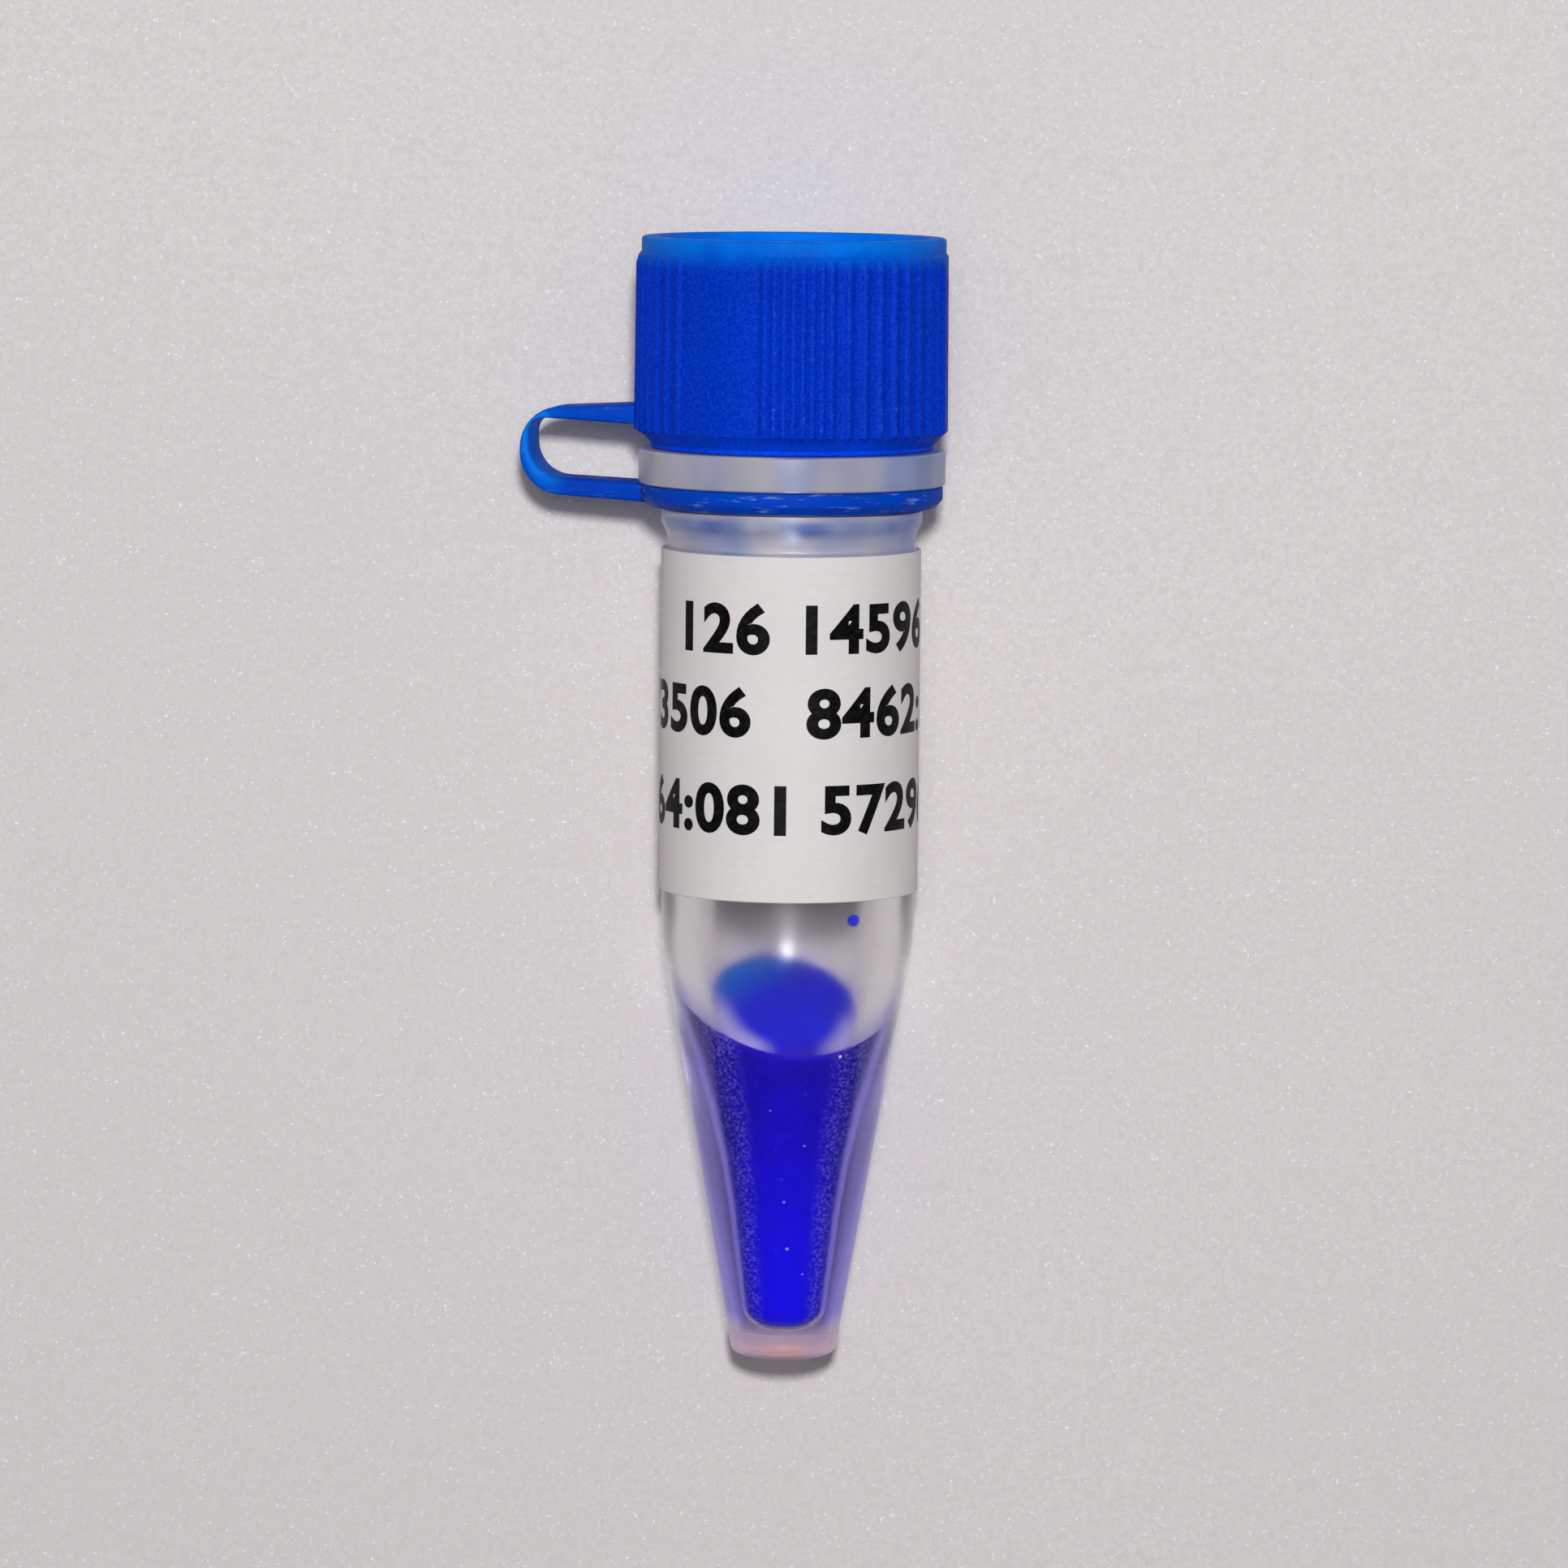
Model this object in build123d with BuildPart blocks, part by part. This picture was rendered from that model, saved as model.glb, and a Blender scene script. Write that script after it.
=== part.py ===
"""Screw-cap microcentrifuge tube with a tethered cap, an O-ring, a wrap label and a liquid sample.

The pieces share one frame. +Z runs along the tube's axis with the cap on top, the tether's loop
points toward -X and a little back, and the origin lies on the axis in the plane of the tether
ring's underside, where the tube hangs in a rack. Lengths are in millimetres and angles in degrees.
"""

import os

from build123d import *

# Tube, outside
body_radius = 5.22
body_length = 17.64  # from the origin down to where the cone starts
shoulder_blend = 9.0
cone_length = 17.58
tip_radius = 2.14
tip_round = 0.35
gate_radius = 0.45
gate_depth = 0.15
waist_inset = 0.14
waist_step = 0.16  # height of the slope between the waist and the body
edge_break = 0.12

# Groove and bead that hold the tether ring
groove_inset = 0.12
bead_proud = 0.27
bead_drop = 0.10  # from the origin down to the bead's top
bead_height = 0.52
bead_slope = 0.62

# Collar, neck and thread
collar_proud = 1.08
collar_height = 1.43
neck_inset = 0.52
neck_height = 6.51
thread_lead = 2.40
thread_depth = 0.42
thread_root_width = 0.90
thread_crest_width = 0.42
thread_run_in = 1.35  # from the collar's top to the middle of the thread's start
thread_run_out = 1.32  # from the thread's end up to the neck's rim
thread_root_sink = 0.10  # how far each thread's foot sits inside its wall

# Bore
neck_wall = 1.00
body_wall = 1.635
bore_shoulder_drop = 1.31  # below the outer shoulder
bore_shoulder_blend = 12.0
cone_wall = 1.98  # where the bore's cone changes its slope
bore_waist_drop = 8.11
bore_waist_blend = 40.0
tip_side_wall = 1.05
tip_wall = 1.17
bore_tip_round_share = 0.84

# Cap
cap_roof = 0.83  # from the ceiling up to the recess
cap_wall = 1.05
cap_draft = 0.05
lip_wall = 0.52
lip_height = 0.19
lip_slope = 0.58  # height of the slope from the lip out to the skirt
skirt_gap = 0.03  # between the collar's top and the cap's lip
rim_width = 0.75
recess_depth = 0.42
recess_draft = 0.08
plug_clearance = 0.25
plug_wall = 0.85
plug_depth = 1.60
thread_clearance = 0.16
cap_thread_stop = 0.96  # how much shorter the cap's thread is than the neck's

# Grip ribs: equal groups, each of fine ribs, then coarse ribs, then a plain panel
rib_groups = 3
fine_ribs = 7
fine_pitch = 3.5
coarse_ribs = 10
coarse_pitch = 6.55
first_rib_angle = -100.5
rib_radius = 0.15
rib_proud = 0.17
rib_stop = 0.85  # from the cap's rim down to the ribs' upper ends
rib_end = 0.10
rib_end_taper = 40

# O-ring
o_ring_section = 0.90
o_ring_gap = 0.01
o_ring_plug_gap = 0.05

# Tether ring
ring_wall = 1.00
ring_height = 0.88
ring_chamfer = 0.32
ring_bore_clearance = 0.10
ring_seat_clearance = 0.06  # from the bead out to the flat of the ring's underside
ring_lead_in = 0.20  # height of the slope that lets the ring over the bead
ring_float = 0.03  # between the ring's top and the collar

# Tether strap
strap_width = 2.40
tether_turn = -10.0  # about the axis, from -X toward the tube's back
loop_reach = 5.01  # from the ring out to the loop's far side
loop_side_thickness = 0.38
loop_outer_rounds = (0.49, 0.51)  # shares of the loop's height, at its top and its bottom
loop_inner_rounds = (0.25, 0.58)
leg_inset = 0.02
upper_leg_rise = 0.14  # from the skirt's lower edge up to the leg
upper_leg_thickness = 0.80
upper_leg_lean = (0.23, 0.22)  # how far its top falls and its underside climbs along the leg
lower_leg_lean = (0.38, 0.23)  # how far its underside and its top climb along the leg
lug_length = 0.50
lug_clearance = 0.04

# Label
label_top = 1.82  # below the origin
label_foot = 1.82  # from the label's lower edge to the outer shoulder
label_thickness = 0.12
label_gap_angle = 10.0
label_edge_clearance = 0.04

# Sample
sample_height = 13.35  # above the bore's bottom, on the axis
sample_lean = (-0.16, 0.55)  # rise of the free surface per millimetre along +X and +Y
droplet_radius = 0.25
droplet_angle = -48.0
droplet_height = 17.30  # above the bore's bottom
droplet_wall_gap = 0.01

# Radii that follow from the sizes above
collar_radius = body_radius + collar_proud
groove_radius = body_radius - groove_inset
bead_radius = groove_radius + bead_proud
waist_radius = body_radius - waist_inset
neck_radius = body_radius - neck_inset
mouth_radius = neck_radius - neck_wall
thread_crest_radius = neck_radius + thread_depth
cap_bore_radius = thread_crest_radius + thread_clearance
cap_thread_crest_radius = neck_radius + thread_clearance
lip_radius = cap_bore_radius + lip_wall
cap_top_radius = cap_bore_radius + cap_wall
cap_skirt_radius = cap_top_radius + cap_draft
rib_crest_radius = cap_top_radius + rib_proud
plug_radius = mouth_radius - plug_clearance
o_ring_radius = plug_radius + o_ring_plug_gap + o_ring_section / 2
ring_bore_radius = groove_radius + ring_bore_clearance
ring_radius = ring_bore_radius + ring_wall

# Heights that follow
tip_z = -body_length - cone_length
bore_bottom_z = tip_z + tip_wall
body_top_z = -label_top + label_edge_clearance
bead_top_z = -bead_drop
bead_foot_z = bead_top_z - bead_height
collar_z = ring_height + ring_float
collar_top_z = collar_z + collar_height
neck_top_z = collar_top_z + neck_height
cap_z = collar_top_z + skirt_gap
skirt_z = cap_z + lip_height + lip_slope
ceiling_z = neck_top_z + o_ring_section + 2 * o_ring_gap
recess_z = ceiling_z + cap_roof
cap_top_z = recess_z + recess_depth
rib_top_z = cap_top_z - rib_stop
thread_z = collar_top_z + thread_run_in
thread_length = neck_height - thread_run_in - thread_run_out
cap_thread_z = thread_z + thread_lead / 2

# The bore's corners from its shoulder down to its bottom
cone_slope = (body_radius - tip_radius) / cone_length
bore_shoulder = (body_radius - body_wall, -body_length - bore_shoulder_drop)
bore_waist = (body_radius - bore_waist_drop * cone_slope - cone_wall, -body_length - bore_waist_drop)
bore_tip = (tip_radius - tip_side_wall, bore_bottom_z)
bore_rounds = [bore_shoulder_blend, bore_waist_blend, bore_tip_round_share * bore_tip[0]]


def thread_section(foot_radius, crest_radius, foot_z):
    """The corners of a thread's section at its start, from its foot on the wall to its crest."""
    return [
        (foot_radius, foot_z - thread_root_width / 2),
        (crest_radius, foot_z - thread_crest_width / 2),
        (crest_radius, foot_z + thread_crest_width / 2),
        (foot_radius, foot_z + thread_root_width / 2),
    ]


os.makedirs("parts", exist_ok=True)

# Tube: one revolved wall with the collar, the ring's groove and the neck, and its thread
tube_outline = [
    ((0, tip_z + gate_depth), 0),
    ((gate_radius, tip_z + gate_depth), 0),
    ((gate_radius, tip_z), 0),
    ((tip_radius, tip_z), tip_round),
    ((body_radius, -body_length), shoulder_blend),
    ((body_radius, body_top_z), 0.2),
    ((waist_radius, body_top_z + waist_step), 0.2),
    ((waist_radius, bead_foot_z - bead_slope), 0.8),
    ((bead_radius, bead_foot_z), 0.5),
    ((bead_radius, bead_top_z), 0.06),
    ((groove_radius, bead_top_z), 0),
    ((groove_radius, collar_z), 0),
    ((collar_radius, collar_z), edge_break),
    ((collar_radius, collar_top_z), edge_break),
    ((neck_radius, collar_top_z), edge_break),
    ((neck_radius, neck_top_z), edge_break),
    ((mouth_radius, neck_top_z), 0.2),
    (bore_shoulder, bore_rounds[0]),
    (bore_waist, bore_rounds[1]),
    (bore_tip, bore_rounds[2]),
    ((0, bore_bottom_z), 0),
]
with BuildPart() as tube_body:
    with BuildSketch(Plane.XZ):
        with BuildLine():
            FilletPolyline(
                [point for point, _ in tube_outline],
                radius=[round_radius for _, round_radius in tube_outline],
                close=True,
            )
        make_face()
    revolve(axis=Axis.Z)
    with BuildLine() as tube_helix:
        Helix(thread_lead, thread_length, neck_radius, center=(0, 0, thread_z))
    with BuildSketch(Plane.XZ):
        with BuildLine():
            Polyline(
                thread_section(neck_radius - thread_root_sink, thread_crest_radius, thread_z),
                close=True,
            )
        make_face()
    sweep(path=tube_helix.line, is_frenet=True)
tube_body.part.label = "tube_body"
export_step(tube_body.part, "parts/tube_body.step")

# Cap: a revolved cup with a plug, its thread, the grip ribs and the lug that the strap meets
recess_radius = cap_top_radius - rim_width
plug_z = neck_top_z - plug_depth
cap_outline = [
    ((cap_bore_radius, cap_z), 0.08),
    ((lip_radius, cap_z), 0.08),
    ((lip_radius, cap_z + lip_height), 0.05),
    ((cap_skirt_radius, skirt_z), 0.06),
    ((cap_top_radius, cap_top_z), edge_break),
    ((recess_radius, cap_top_z), 0.08),
    ((recess_radius - recess_draft, recess_z), 0.15),
    ((0, recess_z), 0),
    ((0, ceiling_z), 0),
    ((plug_radius - plug_wall, ceiling_z), 0.2),
    ((plug_radius - plug_wall, plug_z), edge_break),
    ((plug_radius, plug_z), 0.2),
    ((plug_radius, ceiling_z), 0),
    ((cap_bore_radius, ceiling_z), 0.1),
]
rib_spacings = fine_ribs * [fine_pitch] + (coarse_ribs - 1) * [coarse_pitch]
rib_angles = [
    first_rib_angle + group * 360 / rib_groups + sum(rib_spacings[:rib])
    for group in range(rib_groups)
    for rib in range(len(rib_spacings) + 1)
]
upper_leg_z = skirt_z + upper_leg_rise
lug_end = rib_crest_radius + lug_length
lug_root_radius = (cap_bore_radius + cap_top_radius) / 2
tether_plane = Plane(
    origin=(0, 0, 0),
    x_dir=Vector(1, 0, 0).rotate(Axis.Z, tether_turn),
    z_dir=Vector(0, -1, 0).rotate(Axis.Z, tether_turn),
)
with BuildPart() as screw_cap:
    with BuildSketch(Plane.XZ):
        with BuildLine():
            FilletPolyline(
                [point for point, _ in cap_outline],
                radius=[round_radius for _, round_radius in cap_outline],
                close=True,
            )
        make_face()
    revolve(axis=Axis.Z)
    with BuildLine() as cap_helix:
        Helix(
            thread_lead,
            thread_length - cap_thread_stop,
            cap_bore_radius,
            center=(0, 0, cap_thread_z),
        )
    with BuildSketch(Plane.XZ):
        with BuildLine():
            Polyline(
                thread_section(
                    cap_bore_radius + thread_root_sink, cap_thread_crest_radius, cap_thread_z
                ),
                close=True,
            )
        make_face()
    sweep(path=cap_helix.line, is_frenet=True)
    with BuildSketch(Plane.XY.offset(skirt_z)) as rib_sketch:
        for rib_angle in rib_angles:
            with PolarLocations(rib_crest_radius - rib_radius, 1, start_angle=rib_angle):
                Circle(rib_radius)
    extrude(amount=rib_top_z - skirt_z)
    with BuildSketch(Plane.XY.offset(rib_top_z)):
        add(rib_sketch.sketch_local)
    extrude(amount=rib_end, taper=rib_end_taper)
    with BuildSketch(-Plane.XY.offset(skirt_z)):
        mirror(rib_sketch.sketch_local, about=Plane.XZ)
    extrude(amount=rib_end, taper=rib_end_taper)
    with BuildSketch(tether_plane):
        with Locations((-lug_end, upper_leg_z)):
            Rectangle(
                lug_end - lug_root_radius,
                upper_leg_thickness,
                align=(Align.MIN, Align.MIN),
            )
    extrude(amount=strap_width / 2, both=True)
screw_cap.part.label = "screw_cap"
export_step(screw_cap.part, "parts/screw_cap.step")

# O-ring: it lies on the neck's rim, around the plug
with BuildPart() as cap_o_ring:
    with Locations((0, 0, neck_top_z + o_ring_gap + o_ring_section / 2)):
        Torus(o_ring_radius, o_ring_section / 2)
cap_o_ring.part.label = "cap_o_ring"
export_step(cap_o_ring.part, "parts/cap_o_ring.step")

# Tether ring: it turns in the groove between the collar and the bead
ring_outline = [
    ((ring_bore_radius, ring_lead_in), 0.08),
    ((bead_radius + ring_seat_clearance, 0), 0),
    ((ring_radius - ring_chamfer, 0), 0.1),
    ((ring_radius, ring_chamfer), 0.1),
    ((ring_radius, ring_height), 0.06),
    ((ring_bore_radius, ring_height), 0.08),
]
with BuildPart() as tether_ring:
    with BuildSketch(Plane.XZ):
        with BuildLine():
            FilletPolyline(
                [point for point, _ in ring_outline],
                radius=[round_radius for _, round_radius in ring_outline],
                close=True,
            )
        make_face()
    revolve(axis=Axis.Z)
tether_ring.part.label = "tether_ring"
export_step(tether_ring.part, "parts/tether_ring.step")

# Tether strap: a flat loop from the lug on the cap out and back to the ring
loop_outer_x = -ring_radius - loop_reach
loop_inner_x = loop_outer_x + loop_side_thickness
upper_end_x = -lug_end - lug_clearance
lower_leg_top_z = ring_height - leg_inset
outer_top_z = upper_leg_z + upper_leg_thickness - upper_leg_lean[0]
outer_foot_z = leg_inset + lower_leg_lean[0]
inner_top_z = upper_leg_z + upper_leg_lean[1]
inner_foot_z = lower_leg_top_z + lower_leg_lean[1]
outer_height = outer_top_z - outer_foot_z
inner_height = inner_top_z - inner_foot_z
strap_outline = [
    ((upper_end_x, upper_leg_z + upper_leg_thickness), 0),
    ((loop_outer_x, outer_top_z), loop_outer_rounds[0] * outer_height),
    ((loop_outer_x, outer_foot_z), loop_outer_rounds[1] * outer_height),
    ((-ring_bore_radius, leg_inset), 0),
    ((-ring_bore_radius, lower_leg_top_z), 0),
    ((loop_inner_x, inner_foot_z), loop_inner_rounds[1] * inner_height),
    ((loop_inner_x, inner_top_z), loop_inner_rounds[0] * inner_height),
    ((upper_end_x, upper_leg_z), 0),
]
with BuildPart() as tether_strap:
    with BuildSketch(tether_plane):
        with BuildLine():
            FilletPolyline(
                [point for point, _ in strap_outline],
                radius=[round_radius for _, round_radius in strap_outline],
                close=True,
            )
        make_face()
    extrude(amount=strap_width / 2, both=True)
    with BuildSketch(Plane.XY):
        Circle(ring_radius)
    extrude(amount=ring_height, mode=Mode.SUBTRACT)
tether_strap.part.label = "tether_strap"
export_step(tether_strap.part, "parts/tether_strap.step")

# Label: paper wrapped round the body, with its gap at the back
label_height = body_length - label_top - label_foot
label_start_angle = 90 + label_gap_angle / 2
with BuildPart() as label:
    with BuildSketch(Plane.XY.offset(-label_top - label_height)):
        with BuildLine():
            outer_edge = CenterArc(
                (0, 0), body_radius + label_thickness, label_start_angle, 360 - label_gap_angle
            )
            inner_edge = CenterArc((0, 0), body_radius, label_start_angle, 360 - label_gap_angle)
            Line(outer_edge @ 0, inner_edge @ 0)
            Line(outer_edge @ 1, inner_edge @ 1)
        make_face()
    extrude(amount=label_height)
label.part.label = "label"
export_step(label.part, "parts/label.step")

# Sample: it fills the bore's lower end up to a leaning free surface
bore_outline = [
    ((0, bore_bottom_z), 0),
    (bore_tip, bore_rounds[2]),
    (bore_waist, bore_rounds[1]),
    (bore_shoulder, bore_rounds[0]),
    ((mouth_radius, neck_top_z), 0),
    ((0, neck_top_z), 0),
]
surface_normal = Vector(-sample_lean[0], -sample_lean[1], 1)
free_surface = Plane((0, 0, bore_bottom_z + sample_height), z_dir=surface_normal)
with BuildPart() as liquid_sample:
    with BuildSketch(Plane.XZ):
        with BuildLine():
            FilletPolyline(
                [point for point, _ in bore_outline],
                radius=[round_radius for _, round_radius in bore_outline],
                close=True,
            )
        make_face()
    revolve(axis=Axis.Z)
    split(bisect_by=free_surface, keep=Keep.BOTTOM)
liquid_sample.part.label = "liquid_sample"
export_step(liquid_sample.part, "parts/liquid_sample.step")

# Droplet: a small bead of the sample that hangs on the bore's wall
droplet_z = bore_bottom_z + droplet_height
upper_bore_slope = (mouth_radius - bore_shoulder[0]) / (neck_top_z - bore_shoulder[1])
droplet_wall_radius = bore_shoulder[0] + (droplet_z - bore_shoulder[1]) * upper_bore_slope
droplet_axis_distance = droplet_wall_radius - droplet_wall_gap - droplet_radius
with BuildPart() as liquid_droplet:
    with Locations(Vector(droplet_axis_distance, 0, droplet_z).rotate(Axis.Z, droplet_angle)):
        Sphere(droplet_radius)
liquid_droplet.part.label = "liquid_droplet"
export_step(liquid_droplet.part, "parts/liquid_droplet.step")
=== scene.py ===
"""Looks of a screw-cap microcentrifuge tube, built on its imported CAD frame.

The tube lies on a sheet of pale paper and is seen from above it. Blender works in metres; the sizes
below are in millimetres and degrees, in the frame's axes: +Z from the tip to the cap, -Y to the camera.
"""

import math

import bmesh
import bpy
import numpy as np
from mathutils import Matrix, Vector


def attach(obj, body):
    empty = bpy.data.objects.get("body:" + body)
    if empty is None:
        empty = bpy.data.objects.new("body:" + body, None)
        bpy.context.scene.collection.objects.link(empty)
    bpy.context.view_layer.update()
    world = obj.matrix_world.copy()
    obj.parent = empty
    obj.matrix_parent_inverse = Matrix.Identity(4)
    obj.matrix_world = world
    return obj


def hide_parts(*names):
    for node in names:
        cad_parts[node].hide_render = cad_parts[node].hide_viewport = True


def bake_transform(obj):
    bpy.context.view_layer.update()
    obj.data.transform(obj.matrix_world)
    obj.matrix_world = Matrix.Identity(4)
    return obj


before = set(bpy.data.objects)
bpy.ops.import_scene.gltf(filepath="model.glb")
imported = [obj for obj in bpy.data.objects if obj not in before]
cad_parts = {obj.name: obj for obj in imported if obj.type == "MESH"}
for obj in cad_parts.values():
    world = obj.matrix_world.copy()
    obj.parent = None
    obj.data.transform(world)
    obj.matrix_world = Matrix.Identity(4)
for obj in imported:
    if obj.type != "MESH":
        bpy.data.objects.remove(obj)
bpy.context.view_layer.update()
MM = 0.001

# Tube. An outline is a row of corners: (radius, height), and how far the corner is rounded
BODY_RADIUS = 5.22
COLLAR_TOP = 2.34
NECK_RADIUS = 4.70
NECK_TOP = 8.85
MOUTH_RADIUS = 3.70
BORE_FOOT = -34.05
TUBE_OUTSIDE = [  # from the tip to the mouth
    ((0, -35.07), 0),
    ((0.45, -35.07), 0.05),
    ((0.45, -35.22), 0.05),
    ((2.14, -35.22), 0.35),
    ((BODY_RADIUS, -17.64), 9.0),
    ((BODY_RADIUS, -1.78), 0.2),
    ((5.08, -1.62), 0.2),
    ((5.08, -1.24), 0.8),
    ((5.37, -0.62), 0.5),
    ((5.37, -0.10), 0.06),
    ((5.10, -0.10), 0.03),
    ((5.10, 0.91), 0.05),
    ((6.30, 0.91), 0.12),
    ((6.30, COLLAR_TOP), 0.12),
    ((NECK_RADIUS, COLLAR_TOP), 0.12),
    ((NECK_RADIUS, NECK_TOP), 0.12),
    ((MOUTH_RADIUS, NECK_TOP), 0.2),
    ((3.69, 7.0), 0),
]
BORE = [  # from the mouth to the foot
    ((MOUTH_RADIUS, NECK_TOP), 0),
    ((3.585, -18.95), 12.0),
    ((1.82, -25.75), 40.0),
    ((1.09, BORE_FOOT), 0.92),
    ((0, BORE_FOOT), 0),
]

COLUMNS = 288  # round the tube and the sample
OUTSIDE_ROW_STEP = 0.8
THREAD_ROW_STEP = 0.09
BORE_ROWS = (90, 60)  # above and below the sample's edge
BORE_ROWS_TOP = 6.6
LEVEL_FROM = -32.7  # below it the bore's rows are level
EDGE_REACH = 9.0  # above and below the sample's edge, the bore's rows follow its tilt this far
OUTER_MARGIN = 0.12  # a face is outside when it is this much wider than the bore
MILKY_FROM = -1.75
TIP_FROM = -34.5
TIP_BLEND_FROM = -33.5
PAINTED_CAP_LIGHT_HEIGHTS = (-4.5, -1.0)  # painted blue light from the cap comes in between these, upward
PAINTED_DYE_LIGHT_DEPTHS = (-0.6, 1.2)  # painted violet light from the dye comes in between these, below the sample's edge
SIDE_SHARES = (0.62, 0.88)  # |X| over the radius, where the painted lavender haze at the left and right comes in
SIDE_DEPTHS = (-0.1, 2.2)
TIP_HAZE = 0.75

# Threads: right-handed ridges, one turn per lead
THREAD_LEAD = 2.40
THREAD_DEPTH = 0.42
THREAD_HALF_WIDTHS = (0.21, 0.45)  # at the crest and at the root
THREAD_RUN_OUT = 0.05  # turns over which its ends fade
NECK_THREAD = (3.69, 3.84)  # height of its start, and its length
CAP_THREAD = (4.89, 2.88)

# Cap
CAP_BORE = 5.28
CAP_TOP_RADIUS = 6.33
CAP_RIM_RADIUS = 6.24
CAP_SKIRT_RADIUS = 6.38
CAP_FOOT = 2.37
SKIRT_FOOT = 3.14
CAP_TOP = 11.02
RIB_TOP = 10.17
CEILING = 9.77
RECESS_FLOOR = 10.60
RECESS_RADIUS = 5.58
CAP_OUTLINE = [
    ((0, CEILING), 0),
    ((2.60, CEILING), 0.2),
    ((2.60, 7.25), 0.12),
    ((3.45, 7.25), 0.2),
    ((3.45, CEILING), 0.05),
    ((CAP_BORE, CEILING), 0.1),
    ((CAP_BORE, CAP_FOOT), 0.08),
    ((5.80, CAP_FOOT), 0.08),
    ((5.80, 2.56), 0.05),
    ((CAP_SKIRT_RADIUS, SKIRT_FOOT), 0.06),
    ((CAP_TOP_RADIUS, RIB_TOP + 0.12), 0.04),
    ((CAP_RIM_RADIUS, RIB_TOP + 0.24), 0.04),
    ((CAP_RIM_RADIUS, CAP_TOP), 0.14),
    ((RECESS_RADIUS, CAP_TOP), 0.10),
    ((5.50, RECESS_FLOOR), 0.15),
    ((0.75, RECESS_FLOOR), 0.08),
    ((0.62, RECESS_FLOOR - 0.08), 0.05),
    ((0.22, RECESS_FLOOR - 0.08), 0.04),
    ((0.20, RECESS_FLOOR + 0.03), 0.03),
    ((0, RECESS_FLOOR + 0.03), 0),
]
RIB_ANGLES = [  # three groups, each with eight ribs close together and then nine wider apart
    -100.5 + 120 * group + 3.5 * min(rib, 7) + 6.55 * max(rib - 7, 0)
    for group in range(3)
    for rib in range(17)
]
RIB_HEIGHT = 0.13
RIB_HALF_WIDTH = 0.21
RIB_BULGE = 1.35  # power of the rib's round profile
RIB_CRESTS = (6.44, 6.53)  # radii between which a place counts as the crest
GROOVE_SHADE_BAND = (0.95, 0.38)  # middle and width of the painted shade beside a rib, in half widths of a rib
CAP_OUTSIDE_FROM = (6.0, 2.7)  # radius and height
CAP_BORE_ROW_STEP = 0.12
CAP_ROW_STEP = 0.35

# Tether
RING_OUTLINE = [
    ((5.20, 0.20), 0.08),
    ((5.43, 0), 0.03),
    ((5.88, 0), 0.1),
    ((6.20, 0.32), 0.1),
    ((6.20, 0.88), 0.07),
    ((5.20, 0.88), 0.08),
]
TETHER_TURN = -10.0  # from -X toward the back
STRAP_HALF_WIDTH = 1.20
STRAP_EDGE = 0.16  # radius of the section's rounded corners
STRAP_SECTIONS = 110
STRAP_OUTSIDE = [((-6.1, 4.12), 0), ((-11.21, 3.85), 1.69), ((-11.21, 0.40), 1.76), ((-5.6, 0.06), 0)]
STRAP_INSIDE = [((-6.1, 3.25), 0), ((-10.83, 3.50), 0.60), ((-10.83, 1.09), 1.40), ((-5.6, 0.86), 0)]

# Label
LABEL_RADII = (5.22, 5.34)
LABEL_HEIGHTS = (-15.82, -1.74)
LABEL_GAP = 10.0  # angle left open at the back
LABEL_BEVEL = 0.03
LABEL_SLACK = 0.005  # between the tube and the paper
PRINT_HEIGHT = 2.12
PRINT_STRETCH = 1.08
PRINT_SPACING = 1.08
PRINT_BOLDNESS = 0.036  # in the font's own units
PRINT_LIFT = 0.006  # above the paper
PRINT_STRIP = 0.2  # width of the strips that bend round the label
PRINT_GROUPS = [  # text, which end is placed, distance round the label from its front, foot of the digits
    ("126", "LEFT", -4.95, -5.74),
    ("14596 27", "LEFT", 0.62, -5.74),
    ("89 73506", "RIGHT", -1.60, -9.16),
    ("8462:15", "LEFT", 0.68, -9.14),
    ("52 64:081", "RIGHT", -0.10, -13.09),
    ("57296 38", "LEFT", 1.34, -13.09),
]

# Sample: its free surface slopes down to the camera, and climbs the wall a little all round
SURFACE_CENTRE = -20.80
SURFACE_LEAN = (-0.14, 0.57)  # rise along X and along Y
CLIMB = 0.10
LIQUID_GAP = 0.008  # between the sample and the bore
SURFACE_ROWS = (0.02, 0.1, 0.2, 0.3, 0.4, 0.5, 0.6, 0.7, 0.78, 0.84, 0.88, 0.92, 0.95, 0.975, 0.99)
DROPLET = (-48, -16.75, 0.25)  # angle round the axis, height, radius
BUBBLES = [  # angle round the axis, height, radius
    (-46, -22.35, 0.07),
    (-91, -28.5, 0.05),
    (-86, -30.5, 0.06),
    (-70, -26.1, 0.035),
    (-104, -24.6, 0.03),
    (-62, -31.6, 0.035),
]

# The sheet that the tube lies on, the camera, and the lamps
SHEET_TOUCHES = ((6.56, 3.14), (5.38, -15.82))  # (Y, Z) where the cap's ribs and the label lie on the sheet
SHEET_HALF_SIZE = 320.0
VIEW_ELEVATION = math.radians(6.1)
VIEW_ROLL = math.radians(0.57)
VIEW_DISTANCE = 311.3
VIEW_AIM = (-0.2, 0.0, -11.51)
LENS = 173.3
SENSOR = 36
LAMPS = [  # name, watts, disk's diameter, distance, degrees up, degrees to the right of the front
    ("front_light", 0.76, 28, 350, 14.0, 1),
    ("soft_front", 0.21, 110, 360, 10.5, -1),
]
ROOM_COLOUR = (0.98, 0.98, 1.0)
ROOM_STRENGTH = 0.10

SAME = 0.01  # two radii closer than this are the same
WELD_DISTANCE = 1e-7  # in metres
SMALLEST_EDGE = 1e-8  # in metres


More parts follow.
